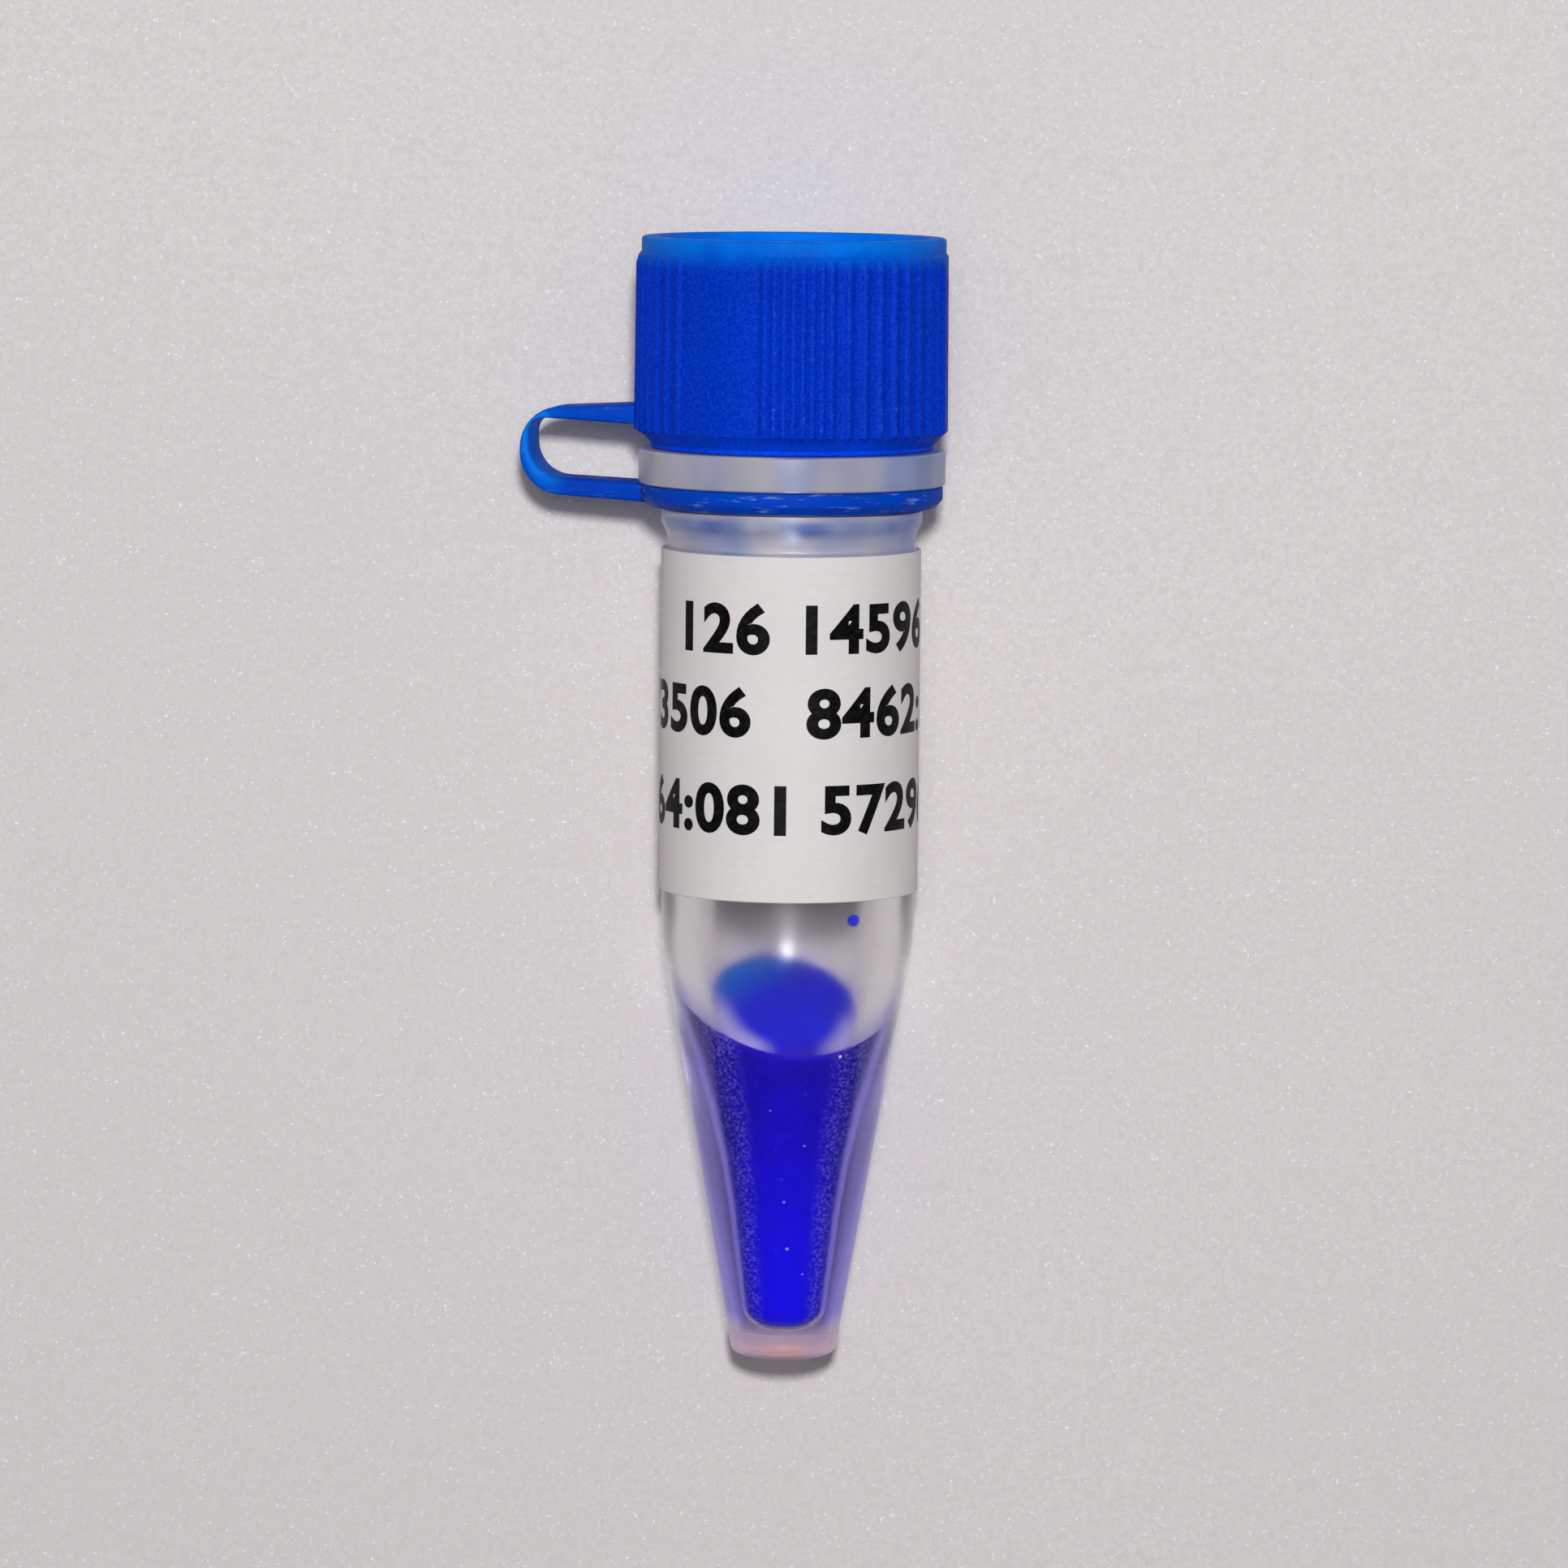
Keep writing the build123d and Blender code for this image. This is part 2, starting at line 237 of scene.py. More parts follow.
def srgb(red, green, blue):
    """The linear colour of one given as 8-bit sRGB."""
    return tuple(
        (c / 255 / 12.92) if c <= 10 else ((c / 255 + 0.055) / 1.055) ** 2.4 for c in (red, green, blue)
    )


# Refraction and colours. Tones are a pair of colours that a pattern goes between
PLASTIC_IOR = 1.49
WET_PLASTIC_IOR = 1.12  # plastic against water
WATER_IOR = 1.33
WALL_TONES = ((0.87, 0.86, 0.88), (0.92, 0.91, 0.92))
# painted violet light from the dye, on the outside of the wall below the sample
WALL_PAINTED_DYE_LIGHT = (0.40, 0.34, 0.98)
# painted blue light from the cap, on the bore
WALL_PAINTED_CAP_LIGHT = (0.50, 0.62, 0.90)
VIOLET_SHEEN = (0.36, 0.30, 1.0, 1)
# pale milk and painted blue light from the cap; under the collar, a painted reflection of the ring's blue
NECK_MILK_AND_PAINTED_BLUE_LIGHT = (srgb(236, 228, 230), srgb(150, 170, 226))
NECK_PAINTED_RING_REFLECTION = srgb(112, 138, 208)
# the tip's lavender, and painted warm light in the middle of its foot
TIP_LAVENDER_AND_PAINTED_WARM_LIGHT = (srgb(230, 208, 230), srgb(242, 200, 196))
# the cap's paler top band and paler lip are painted light
CAP_TONES_AND_PAINTED_TOP_LIGHT = (srgb(0, 44, 200), srgb(0, 122, 240))
CAP_PAINTED_LIP_LIGHT = srgb(0, 65, 235)
# painted shade beside the ribs
CAP_PAINTED_SHADE = srgb(0, 24, 160)
# painted glints on the ribs' crests
CAP_PAINTED_GLINT = srgb(60, 120, 235)
BLUE_SHEEN = (0.0, 0.4, 0.75, 1)
RING_TONES = (srgb(0, 62, 190), srgb(0, 70, 198))
STRAP_TONES = (srgb(0, 64, 192), srgb(0, 72, 198))
# painted paler light on the loop's bend, and on its inner face where light comes through
STRAP_PAINTED_ARC_LIGHT = srgb(0, 92, 214)
STRAP_PAINTED_THROUGH_LIGHT = srgb(8, 124, 240)
SCUFF = srgb(150, 180, 235)
PAPER_TONES = (srgb(230, 224, 224), srgb(235, 229, 229))
PAPER_CLOUD = srgb(224, 218, 219)
PAPER_SPECK = srgb(150, 145, 148)
INK_TONES = (srgb(5, 5, 7), srgb(26, 25, 30))
DYE_TONES = (srgb(16, 0, 140), srgb(24, 0, 164))
DYE_FOOT = srgb(20, 0, 206)
# painted meniscus light just below the sample's edge
DYE_PAINTED_MENISCUS_LIGHT = srgb(34, 8, 168)
# paler beads, partly painted lavender light at the left and right of the dye
DYE_BEADS_AND_PAINTED_SIDE_LIGHT = srgb(134, 120, 214)
# painted sparkles
DYE_PAINTED_SPARKLE = srgb(90, 70, 225)
SURFACE_TONES = (srgb(0, 4, 194), srgb(6, 18, 208))
# painted teal light at the free surface's far left edge
SURFACE_PAINTED_TEAL_LIGHT = srgb(0, 92, 196)
SURFACE_PAINTED_NEAR_REFLECTION = (srgb(38, 10, 176), srgb(160, 152, 216))  # painted reflection at its front edge, in the middle and at the sides
# bubbles painted bright as their highlights
BUBBLE_PAINTED_HIGHLIGHT_TONES = (srgb(215, 215, 250), srgb(255, 255, 255))
SEAL_TONES = (srgb(196, 92, 62), srgb(214, 112, 80))
SHEET_TONES = (srgb(218, 211, 211), srgb(230, 224, 223))
SHEET_CLOUD = srgb(217, 211, 212)
SHEET_FLAKE = srgb(255, 254, 254)


# ---------------------------------------------------------------- shapes


def rounded(corners, closed=False):
    """The line through corners ((a, b), round radius) with each corner rounded off."""
    points = [np.array(corner, float) for corner, _ in corners]
    line = []
    for i, (_, radius) in enumerate(corners):
        here = points[i]
        if radius <= 0 or (not closed and i in (0, len(points) - 1)):
            line.append(here)
            continue
        back = points[i - 1] - here
        ahead = points[(i + 1) % len(points)] - here
        back, ahead = back / np.linalg.norm(back), ahead / np.linalg.norm(ahead)
        half = math.acos(np.clip(back @ ahead, -1, 1)) / 2
        middle = (back + ahead) / np.linalg.norm(back + ahead)
        centre = here + middle * radius / math.sin(half)
        first = here + back * radius / math.tan(half) - centre
        last = here + ahead * radius / math.tan(half) - centre
        turn = math.atan2(first[0] * last[1] - first[1] * last[0], first @ last)
        steps = max(3, math.ceil(abs(turn) / math.radians(12)))
        for k in range(steps + 1):
            c, s = math.cos(turn * k / steps), math.sin(turn * k / steps)
            line.append(centre + np.array([c * first[0] - s * first[1], s * first[0] + c * first[1]]))
    return np.array(line)


def divided(line, longest):
    """The same line with no run longer than longest."""
    out = [line[0]]
    for a, b in zip(line[:-1], line[1:]):
        steps = max(1, math.ceil(np.linalg.norm(b - a) / longest))
        out += [a + (b - a) * k / steps for k in range(1, steps + 1)]
    return np.array(out)


def added(name, data):
    """An object with that data, put into the scene."""
    made = bpy.data.objects.new(name, data)
    bpy.context.scene.collection.objects.link(made)
    return made


def make_piece(name, verts, faces, sharp=40):
    """A mesh piece from points in millimetres, welded, with its normals outward and smooth shading."""
    mesh = bpy.data.meshes.new(name)
    mesh.from_pydata((np.asarray(verts) * MM).tolist(), [], [tuple(int(i) for i in f) for f in faces])
    bm = bmesh.new()
    bm.from_mesh(mesh)
    bmesh.ops.remove_doubles(bm, verts=bm.verts, dist=WELD_DISTANCE)
    bmesh.ops.dissolve_degenerate(bm, edges=bm.edges, dist=SMALLEST_EDGE)
    bmesh.ops.recalc_face_normals(bm, faces=bm.faces)
    bm.to_mesh(mesh)
    bm.free()
    mesh.shade_smooth()
    mesh.set_sharp_from_angle(angle=math.radians(sharp))
    return added(name, mesh)


def grid_faces(rows, columns, wrap_rows=False):
    """Quads of a grid whose columns close round, row by row."""
    row = np.arange(rows if wrap_rows else rows - 1)[:, None]
    column = np.arange(columns)[None, :]
    below, beside = (row + 1) % rows, (column + 1) % columns
    here, ahead = row * columns, below * columns
    return np.stack([here + column, here + beside, ahead + beside, ahead + column], -1).reshape(-1, 4)


def turned(name, radii, heights, angles, wrap_rows=False, sharp=40):
    """A piece from a grid of radii and heights, one column for each angle."""
    x, y = radii * np.cos(angles), radii * np.sin(angles)
    verts = np.stack([x, y, np.broadcast_to(heights, radii.shape)], -1).reshape(-1, 3)
    return make_piece(name, verts, grid_faces(radii.shape[0], radii.shape[1], wrap_rows), sharp)


def lathe(name, line, columns=192, wrap_rows=True, sharp=40):
    """A piece turned from a closed line, or from one whose ends lie on the axis."""
    angles = np.linspace(-math.pi, math.pi, columns, endpoint=False)
    radii = np.repeat(line[:, :1], columns, 1)
    return turned(name, radii, np.repeat(line[:, 1:], columns, 1), angles, wrap_rows, sharp)


def face_places(piece):
    """The middle of each of the piece's faces, in millimetres."""
    centres = np.zeros(len(piece.data.polygons) * 3)
    piece.data.polygons.foreach_get("center", centres)
    return centres.reshape(-1, 3).T / MM


def set_values(piece, name, value_of):
    """A value at each point of the piece, from its place in millimetres."""
    co = np.zeros(len(piece.data.vertices) * 3)
    piece.data.vertices.foreach_get("co", co)
    x, y, z = co.reshape(-1, 3).T / MM
    values = piece.data.attributes.new(name, "FLOAT", "POINT")
    values.data.foreach_set("value", np.asarray(value_of(x, y, z), np.float32))


def smooth_step(low, high, value):
    """0 at low and beyond, 1 at high and beyond, smooth between."""
    t = np.clip((value - low) / (high - low), 0, 1)
    return t * t * (3 - 2 * t)


def thread_ridge(angles, heights, start, length):
    """How far a thread stands out, as a share of its depth, over a grid of angles and heights."""
    turns = length / THREAD_LEAD
    out = np.zeros(np.broadcast_shapes(angles.shape, heights.shape))
    crest, root = THREAD_HALF_WIDTHS
    for k in range(-1, 3):
        turned_by = angles / (2 * math.pi) + k
        end = smooth_step(turns - THREAD_RUN_OUT, turns, turned_by)
        ends = smooth_step(0, THREAD_RUN_OUT, turned_by) * (1 - end)
        across = np.abs(heights - start - THREAD_LEAD * turned_by)
        out = np.maximum(out, (1 - smooth_step(crest, root, across)) * ends)
    return out


# ---------------------------------------------------------------- sample's surface

bore_line = rounded(BORE)
bore_heights, bore_radii = bore_line[::-1, 1], bore_line[::-1, 0]


def bore_radius(height):
    """The bore's radius at a height."""
    return np.interp(height, bore_heights[1:], bore_radii[1:])


def plane_height(x, y):
    """The free surface's height at a place, but for its climb at the wall."""
    return SURFACE_CENTRE + SURFACE_LEAN[0] * x + SURFACE_LEAN[1] * y


def contact_height(angles):
    """The height where the sample's surface meets the wall, found by steps."""
    height = np.full_like(angles, SURFACE_CENTRE)
    for _ in range(8):
        r = bore_radius(height)
        height = plane_height(r * np.cos(angles), r * np.sin(angles)) + CLIMB
    return height


# ---------------------------------------------------------------- pieces


def build_tube_wall():
    """The tube, with its bore's rows lined up to the sample's edge."""
    angles = np.linspace(0, 2 * math.pi, COLUMNS, endpoint=False)[None, :]
    outside = divided(rounded(TUBE_OUTSIDE), OUTSIDE_ROW_STEP)
    on_neck = np.abs(outside[:, 0] - NECK_RADIUS) < SAME
    neck_from, neck_to = np.flatnonzero(on_neck & (outside[:, 1] > COLLAR_TOP + 0.1))[[0, -1]]
    neck = divided(outside[[neck_from, neck_to]], THREAD_ROW_STEP)
    outside = np.vstack([outside[:neck_from], neck, outside[neck_to + 1 :]])
    radii = np.repeat(outside[:, :1], COLUMNS, 1)
    heights = np.repeat(outside[:, 1:], COLUMNS, 1)
    rows = np.arange(neck_from + 1, neck_from + len(neck) - 1)
    radii[rows] += THREAD_DEPTH * thread_ridge(angles, heights[rows], *NECK_THREAD)

    above = np.linspace(BORE_ROWS_TOP, SURFACE_CENTRE, BORE_ROWS[0])
    below = np.linspace(SURFACE_CENTRE, LEVEL_FROM + 0.1, BORE_ROWS[1])[1:]
    foot = bore_line[bore_line[:, 1] < LEVEL_FROM]
    plain = np.concatenate([above, below])
    share = np.clip(1 - np.abs(plain - SURFACE_CENTRE) / EDGE_REACH, 0, 1)[:, None]
    bore_z = plain[:, None] + share * (contact_height(angles[0]) - SURFACE_CENTRE)[None, :]
    radii = np.vstack([radii, bore_radius(bore_z), np.repeat(foot[:, :1], COLUMNS, 1)])
    heights = np.vstack([heights, bore_z, np.repeat(foot[:, 1:], COLUMNS, 1)])
    piece = turned("tube_wall", radii, heights, angles, sharp=50)

    x, y, z = face_places(piece)
    edge = contact_height(np.arctan2(y, x))
    inside = np.hypot(x, y) < bore_radius(z) + OUTER_MARGIN
    wetted = inside & (z < edge) & (z > BORE_FOOT - 0.05)
    milky = (z > MILKY_FROM) & ~inside
    tip = ~inside & (z < TIP_FROM)
    # the outside below the sample, which takes the painted violet light
    dye_lit = ~inside & (z < edge + 0.3)
    index = np.select([wetted, milky, tip, dye_lit], [1, 2, 4, 3], 0)  # in the order of the piece's materials
    piece.data.polygons.foreach_set("material_index", index.astype(np.int32))

    def below_edge(x, y, z):
        return contact_height(np.arctan2(y, x)) - z

    def painted_dye_light(x, y, z):
        """Painted violet light on the outside of the wall, from the sample's edge down to the tip."""
        outside = np.hypot(x, y) > bore_radius(z) + OUTER_MARGIN
        above_tip = 1 - smooth_step(TIP_BLEND_FROM, TIP_FROM, z)
        return outside * smooth_step(*PAINTED_DYE_LIGHT_DEPTHS, below_edge(x, y, z)) * above_tip

    def painted_cap_light(x, y, z):
        """Painted blue light from the cap, on the bore's upper part."""
        return (np.hypot(x, y) < MOUTH_RADIUS + 0.15) * smooth_step(*PAINTED_CAP_LIGHT_HEIGHTS, z)

    def side(x, y, z):
        """How far round to the left or the right, below the sample's edge, and how near the tip: the share of
        painted lavender haze at the left and right, and of the tip's milk.
        """
        round_side = smooth_step(*SIDE_SHARES, np.abs(x) / np.maximum(np.hypot(x, y), 0.1))
        round_side *= smooth_step(*SIDE_DEPTHS, below_edge(x, y, z))
        return np.maximum(round_side, TIP_HAZE * smooth_step(TIP_BLEND_FROM - 0.1, TIP_FROM, z))

    for value in (painted_dye_light, painted_cap_light, side):
        set_values(piece, value.__name__, value)
    return piece


def build_sample():
    """The liquid, from its edge down the wall and across its free surface."""
    angles = np.linspace(0, 2 * math.pi, COLUMNS, endpoint=False)[None, :]
    edge = contact_height(angles[0])[None, :]
    shares = np.array(SURFACE_ROWS)[:, None]
    top_r = shares * (bore_radius(edge) - LIQUID_GAP)
    top_z = plane_height(top_r * np.cos(angles), top_r * np.sin(angles)) + CLIMB * shares**6
    centre_z = np.full((1, COLUMNS), plane_height(0, 0))
    down = (np.linspace(0, 1, 90) ** 1.15)[:, None]
    wall_z = edge + down * (LEVEL_FROM - edge)
    wall_r = bore_radius(wall_z) - LIQUID_GAP
    foot = bore_line[bore_line[:, 1] < LEVEL_FROM - 0.05]
    foot_r = np.maximum(foot[:, :1] - LIQUID_GAP, 0)
    radii = np.vstack([0 * centre_z, top_r, wall_r, np.repeat(foot_r, COLUMNS, 1)])
    heights = np.vstack([centre_z, top_z, wall_z, np.repeat(foot[:, 1:] + LIQUID_GAP, COLUMNS, 1)])
    piece = turned("sample_liquid", radii, heights, angles, sharp=180)

    x, y, z = face_places(piece)
    on_wall = (np.hypot(x, y) > bore_radius(z) - 0.03) | (z < SURFACE_CENTRE - 4)
    piece.data.polygons.foreach_set("material_index", (~on_wall).astype(np.int32))
    set_values(piece, "depth", lambda x, y, z: contact_height(np.arctan2(y, x)) - z)
    set_values(piece, "rim", lambda x, y, z: np.hypot(x, y) / bore_radius(z))
    set_values(piece, "limb", lambda x, y, z: np.abs(x) / bore_radius(z))
    return piece


def build_droplet():
    """A drop that sits flat on the bore's wall."""
    angle, height, size = DROPLET
    angle = math.radians(angle)
    turn = np.linspace(0, 1, 12) * math.pi / 2
    line = np.stack([size * np.sin(turn) ** 0.9, 0.62 * size * np.cos(turn)], 1)
    line = np.vstack([line, [[size * 0.6, -0.01], [0, -0.01]]])
    line[0, 0] = 0
    piece = lathe("sample_droplet", line, 40, wrap_rows=False)
    inward = Vector((-math.cos(angle), -math.sin(angle), 0))
    facing = inward.to_track_quat("Z", "Y").to_matrix().to_4x4()
    spot = Matrix.Translation(-inward * (bore_radius(height) - 0.03) * MM + Vector((0, 0, height * MM)))
    piece.data.transform(spot @ facing)
    return piece


def build_bubbles():
    """A few fine bubbles caught between the sample and the wall."""
    rows, columns = 7, 12
    up = np.linspace(0, math.pi, rows)[:, None]
    turn = np.linspace(0, 2 * math.pi, columns, endpoint=False)[None, :]
    flat = np.sin(up)
    ball = np.stack(np.broadcast_arrays(flat * np.cos(turn), flat * np.sin(turn), np.cos(up)), -1)
    verts, faces = [], []
    for angle, height, size in BUBBLES:
        angle = math.radians(angle)
        reach = bore_radius(height) - LIQUID_GAP - 0.4 * size  # the ball stands partly out of the sample
        centre = np.array([reach * math.cos(angle), reach * math.sin(angle), height])
        faces += (grid_faces(rows, columns) + len(verts) * rows * columns).tolist()
        verts.append(ball.reshape(-1, 3) * size + centre)
    return make_piece("sample_bubbles", np.vstack(verts), faces)


def rib_columns():
    """Angles for the cap's columns: close together over each rib, wider elsewhere."""
    across = np.degrees(np.linspace(-RIB_HALF_WIDTH, RIB_HALF_WIDTH, 11) / CAP_SKIRT_RADIUS)
    angles = np.concatenate([rib + across for rib in RIB_ANGLES])
    angles = (angles + 180) % 360 - 180
    plain = np.arange(-180, 180, 1.5)
    distance = np.abs((plain[:, None] - np.array(RIB_ANGLES) + 180) % 360 - 180).min(1)
    return np.radians(np.sort(np.concatenate([angles, plain[distance > across[-1] + 0.4]])))


def from_rib(angles):
    """How far each angle is from the nearest rib's middle, in half widths of a rib."""
    ribs = np.radians(np.array(RIB_ANGLES))
    distance = np.abs((angles[..., None] - ribs + math.pi) % (2 * math.pi) - math.pi).min(-1)
    return distance * CAP_SKIRT_RADIUS / RIB_HALF_WIDTH


def build_cap():
    """The cap's cup with its grip ribs, its thread and the gate mark in its recess."""
    angles = rib_columns()[None, :]
    line = rounded(CAP_OUTLINE)
    parts = [line[:1]]
    for run in zip(line[:-1], line[1:]):
        on_bore = all(abs(end[0] - CAP_BORE) < SAME for end in run)
        parts.append(divided(np.array(run), CAP_BORE_ROW_STEP if on_bore else CAP_ROW_STEP)[1:])
    line = np.vstack(parts)
    radii = np.repeat(line[:, :1], angles.size, 1)
    heights = np.repeat(line[:, 1:], angles.size, 1)
    outer = (line > CAP_OUTSIDE_FROM).all(1) & (line[:, 1] < CAP_TOP - 0.05)
    foot = smooth_step(SKIRT_FOOT - 0.16, SKIRT_FOOT + 0.03, line[:, 1])
    top = smooth_step(RIB_TOP - 0.02, RIB_TOP + 0.16, line[:, 1])
    ribs = (1 - np.clip(from_rib(angles), 0, 1) ** 2) ** RIB_BULGE
    radii += (outer * foot * (1 - top))[:, None] * RIB_HEIGHT * ribs
    bore = np.abs(line[:, 0] - CAP_BORE) < SAME
    radii -= bore[:, None] * THREAD_DEPTH * thread_ridge(angles % (2 * math.pi), heights, *CAP_THREAD)
    piece = turned("cap_shell", radii, heights, angles, sharp=55)

    def painted_groove_shade(x, y, z):
        """Painted shade beside each rib, where its foot meets the wall."""
        beside = np.exp(-(((from_rib(np.arctan2(y, x)) - GROOVE_SHADE_BAND[0]) / GROOVE_SHADE_BAND[1]) ** 2))
        on_side = (np.hypot(x, y) > 6.2) * smooth_step(3.0, 3.3, z) * (1 - smooth_step(10.1, 10.35, z))
        return beside * on_side

    def crest(x, y, z):
        """The outermost part of each rib, where the painted glints go."""
        return smooth_step(*RIB_CRESTS, np.hypot(x, y)) * (z > 3.0)

    set_values(piece, "painted_groove_shade", painted_groove_shade)
    set_values(piece, "crest", crest)
    return piece


def evenly(line, count):
    """count points at equal steps along a line."""
    steps = np.concatenate([[0], np.cumsum(np.linalg.norm(np.diff(line, axis=0), axis=1))])
    at = np.linspace(0, steps[-1], count)
    return np.stack([np.interp(at, steps, line[:, i]) for i in (0, 1)], 1)


def build_ring():
    """The ring of the tether, turned from its outline."""
    return lathe("tether_band", rounded(RING_OUTLINE, closed=True))


def build_strap():
    """The flat loop, as sections with rounded edges from the lug's end round to the ring."""
    steps = 4
    hole = rounded(STRAP_INSIDE)
    outside, inside = evenly(rounded(STRAP_OUTSIDE), STRAP_SECTIONS), evenly(hole, STRAP_SECTIONS)
    turn = np.linspace(0, math.pi / 2, steps)
    verts = []
    for out, inn in zip(outside, inside):
        thick = np.linalg.norm(out - inn)
        across = (out - inn) / thick
        side, face = STRAP_HALF_WIDTH - STRAP_EDGE, thick / 2 - STRAP_EDGE
        section = []
        for sy, st, backward in ((1, 1, 0), (-1, 1, 1), (-1, -1, 0), (1, -1, 1)):
            corner = [
                (sy * (side + STRAP_EDGE * math.cos(a)), st * (face + STRAP_EDGE * math.sin(a))) for a in turn
            ]
            section += corner[::-1] if backward else corner
        middle = (out + inn) / 2
        verts += [(middle[0] + across[0] * t, y, middle[1] + across[1] * t) for y, t in section]
    size = 4 * steps
    faces = grid_faces(STRAP_SECTIONS, size).tolist()
    faces += [tuple(range(size)), tuple(range((STRAP_SECTIONS - 1) * size, STRAP_SECTIONS * size))]
    piece = make_piece("strap_loop", verts, faces)

    def thin(x, y, z):
        """How much painted light comes through to the loop's inner face, most where the loop is thinnest."""
        near = np.hypot(x[:, None] - hole[:, 0], z[:, None] - hole[:, 1]).min(1)
        return (near < 0.3) * smooth_step(-9.0, -10.4, x)

    set_values(piece, "thin", thin)
    piece.data.transform(Matrix.Rotation(math.radians(TETHER_TURN), 4, "Z"))
    return piece


def build_label():
    """The paper wrap, open at the back, with its outer edges bevelled."""
    columns = 300
    gap = math.radians(LABEL_GAP / 2)
    angles = np.linspace(math.pi / 2 + gap, 2.5 * math.pi - gap, columns)
    low, high = LABEL_HEIGHTS
    inner, outer = LABEL_RADII
    inner += LABEL_SLACK
    rows = np.linspace(0, 1, 40)[:-1] * (high - low - 2 * LABEL_BEVEL)
    outline = [(outer - LABEL_BEVEL, low), *((outer, low + LABEL_BEVEL + row) for row in rows)]
    outline += [(outer, high - LABEL_BEVEL), (outer - LABEL_BEVEL, high), (inner, high), (inner, low)]
    count = len(outline)
    radii, heights = (np.repeat(part[:, None], columns, 1) for part in np.array(outline).T)
    verts = np.stack([radii * np.cos(angles), radii * np.sin(angles), heights], -1).reshape(-1, 3)
    closing = (columns - 1, 1 - columns)  # the quads that would close the gap are left out
    faces = [f for f in grid_faces(count, columns, True).tolist() if f[0] - f[1] not in closing]
    faces += [tuple(i * columns + end for i in range(count)) for end in (0, columns - 1)]
    return make_piece("label_wrap", verts, faces)


def build_print(index, text, placed_end, start, foot):
    """Digits laid out flat, cut into narrow strips and bent round the label."""
    curve = bpy.data.curves.new(f"digits_{index}", "FONT")
    curve.body = text
    curve.offset = PRINT_BOLDNESS
    curve.space_character = PRINT_SPACING
    curve.resolution_u = 6
    holder = added(f"digits_{index}", curve)
    bpy.context.view_layer.update()
    mesh = bpy.data.meshes.new_from_object(holder.evaluated_get(bpy.context.evaluated_depsgraph_get()))
    bpy.data.objects.remove(holder)
    bpy.data.curves.remove(curve)
    bm = bmesh.new()
    bm.from_mesh(mesh)
    bpy.data.meshes.remove(mesh)
    xs, ys = [v.co.x for v in bm.verts], [v.co.y for v in bm.verts]
    scale = PRINT_HEIGHT / (max(ys) - min(ys))
    origin = min(xs) if placed_end == "LEFT" else max(xs)
    for v in bm.verts:
        v.co = Vector(((v.co.x - origin) * scale * PRINT_STRETCH + start, (v.co.y - min(ys)) * scale + foot, 0))
    low, high = min(v.co.x for v in bm.verts), max(v.co.x for v in bm.verts)
    for cut in np.arange(low + PRINT_STRIP, high, PRINT_STRIP):
        everything = bm.verts[:] + bm.edges[:] + bm.faces[:]
        bmesh.ops.bisect_plane(bm, geom=everything, plane_co=(cut, 0, 0), plane_no=(1, 0, 0))
    radius = LABEL_RADII[1] + PRINT_LIFT
    for v in bm.verts:
        angle = v.co.x / radius
        v.co = Vector((radius * math.sin(angle), -radius * math.cos(angle), v.co.y)) * MM
    bmesh.ops.triangulate(bm, faces=bm.faces)
    for f in bm.faces:
        middle = f.calc_center_median()
        if f.normal.dot(Vector((middle.x, middle.y, 0))) < 0:
            f.normal_flip()
    mesh = bpy.data.meshes.new(f"label_digits_{index}")
    bm.to_mesh(mesh)
    bm.free()
    mesh.shade_smooth()
    return added(f"label_digits_{index}", mesh)


# ---------------------------------------------------------------- materials


def new_material(name, **sockets):
    """A material with a Principled shader, and its sockets set by name."""
    material = bpy.data.materials.new(name)
    material.use_nodes = True
    shader = material.node_tree.nodes["Principled BSDF"]
    for socket, value in sockets.items():
        shader.inputs[socket.replace("_", " ")].default_value = value
    return material, shader


def node(tree, kind, inputs=(), **settings):
    """A node with its settings, and its inputs set to values or linked to sockets."""
    made = tree.nodes.new("ShaderNode" + kind)
    for key, value in settings.items():
        setattr(made, key, value)
    for key, value in dict(inputs).items():
        if isinstance(value, bpy.types.NodeSocket):
            tree.links.new(value, made.inputs[key])
        else:
            made.inputs[key].default_value = value
    return made


def place(tree):
    """The place on the object, in metres."""
    return node(tree, "TexCoord").outputs["Object"]


def noise(tree, scale, detail=3.0, roughness=0.55, at=None):
    """Noise from 0 to 1, with so many waves to a metre."""
    inputs = {"Vector": at or place(tree), "Scale": scale, "Detail": detail, "Roughness": roughness}
    return node(tree, "TexNoise", inputs).outputs["Fac"]


def ranged(tree, value, low, high, to_low=0.0, to_high=1.0):
    """The value, moved smoothly from one range to another and held at its ends."""
    inputs = {"Value": value, "From Min": low, "From Max": high, "To Min": to_low, "To Max": to_high}
    return node(tree, "MapRange", inputs, interpolation_type="SMOOTHSTEP").outputs["Result"]


def mixed(tree, share, a, b):
    """A colour that is a at share 0 and b at share 1."""
    made = node(tree, "Mix", data_type="RGBA", blend_type="MIX")
    for index, value in ((0, share), (6, a), (7, b)):
        if isinstance(value, bpy.types.NodeSocket):
            tree.links.new(value, made.inputs[index])
        else:
            made.inputs[index].default_value = (*value, 1) if index else value
    return made.outputs[2]


def math_node(tree, operation, *values):
    """The result of an arithmetic operation on one or two values."""
    return node(tree, "Math", dict(enumerate(values)), operation=operation).outputs[0]


def product(tree, first, *others):
    """All the values multiplied."""
    for other in others:
        first = math_node(tree, "MULTIPLY", first, other)
    return first


def toned(tree, pattern, low, high, tones):
    """A colour between two tones, by a pattern's value between low and high."""
    return mixed(tree, ranged(tree, pattern, low, high), *tones)


